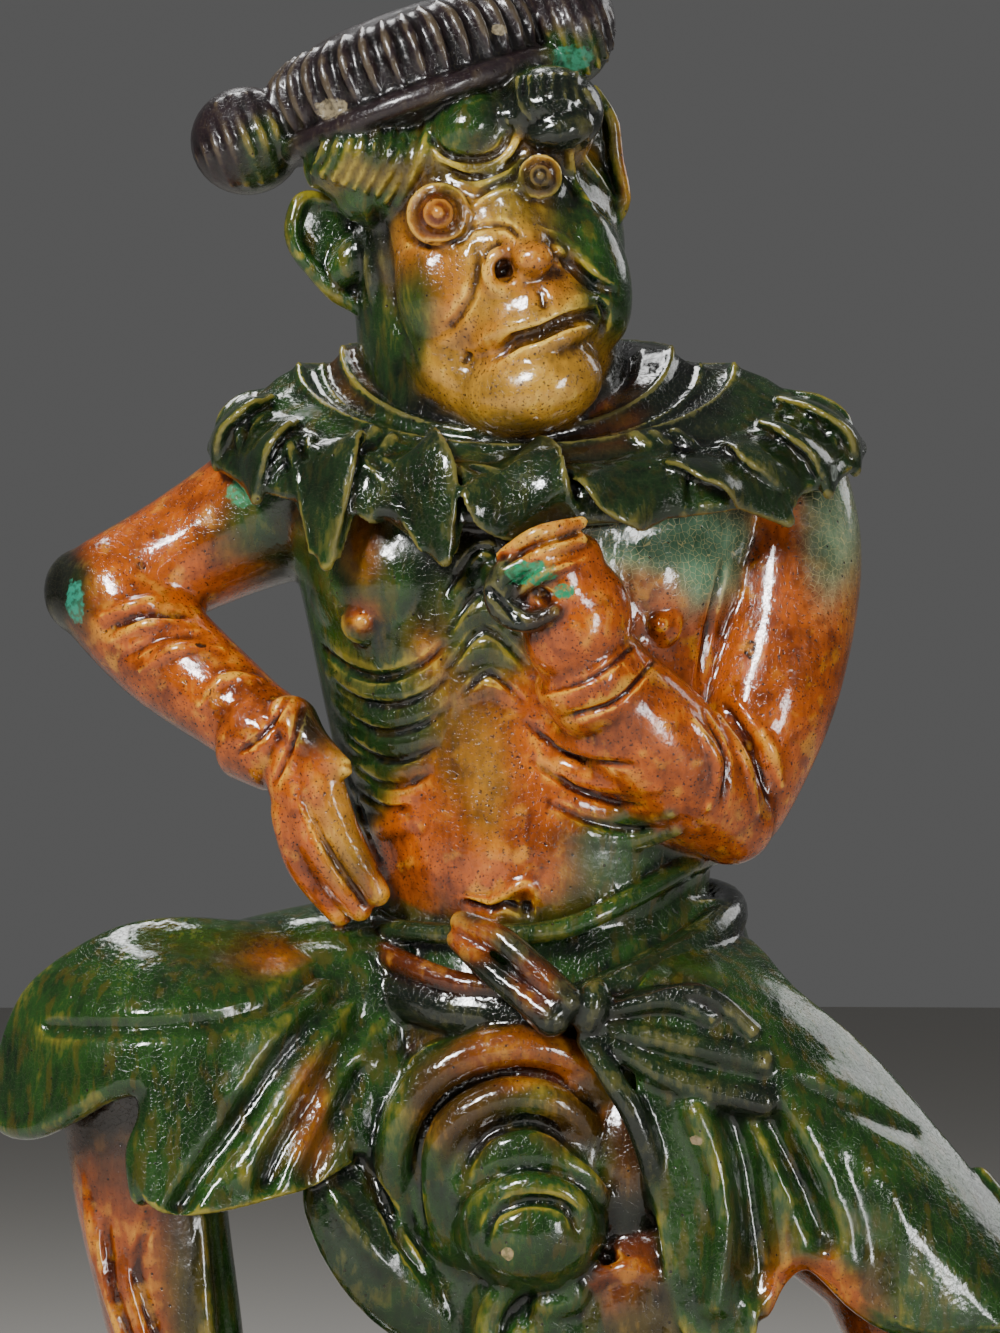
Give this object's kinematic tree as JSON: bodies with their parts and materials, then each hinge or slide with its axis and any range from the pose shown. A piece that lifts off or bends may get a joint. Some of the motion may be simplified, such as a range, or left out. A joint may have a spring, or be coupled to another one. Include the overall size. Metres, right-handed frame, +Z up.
{
  "type": "figural ridge tile",
  "caption": "Glazed ceramic ridge tile: a demon guardian in a fluted cap and leafy cape, one hand on hip and one fist raised, on a low arched saddle base.",
  "frame": {"origin": "centre of the base's flat underside", "axes": "+Z up through the figure, -Y the way it faces, +X along the ridge towards its raised fist"},
  "size_m": [0.45, 0.2151, 0.6954],
  "materials": {
    "lead_glaze": "gloss"
  },
  "bodies": {
    "root": {"figural_ridge_tile": "lead_glaze"}
  },
  "joints": []
}
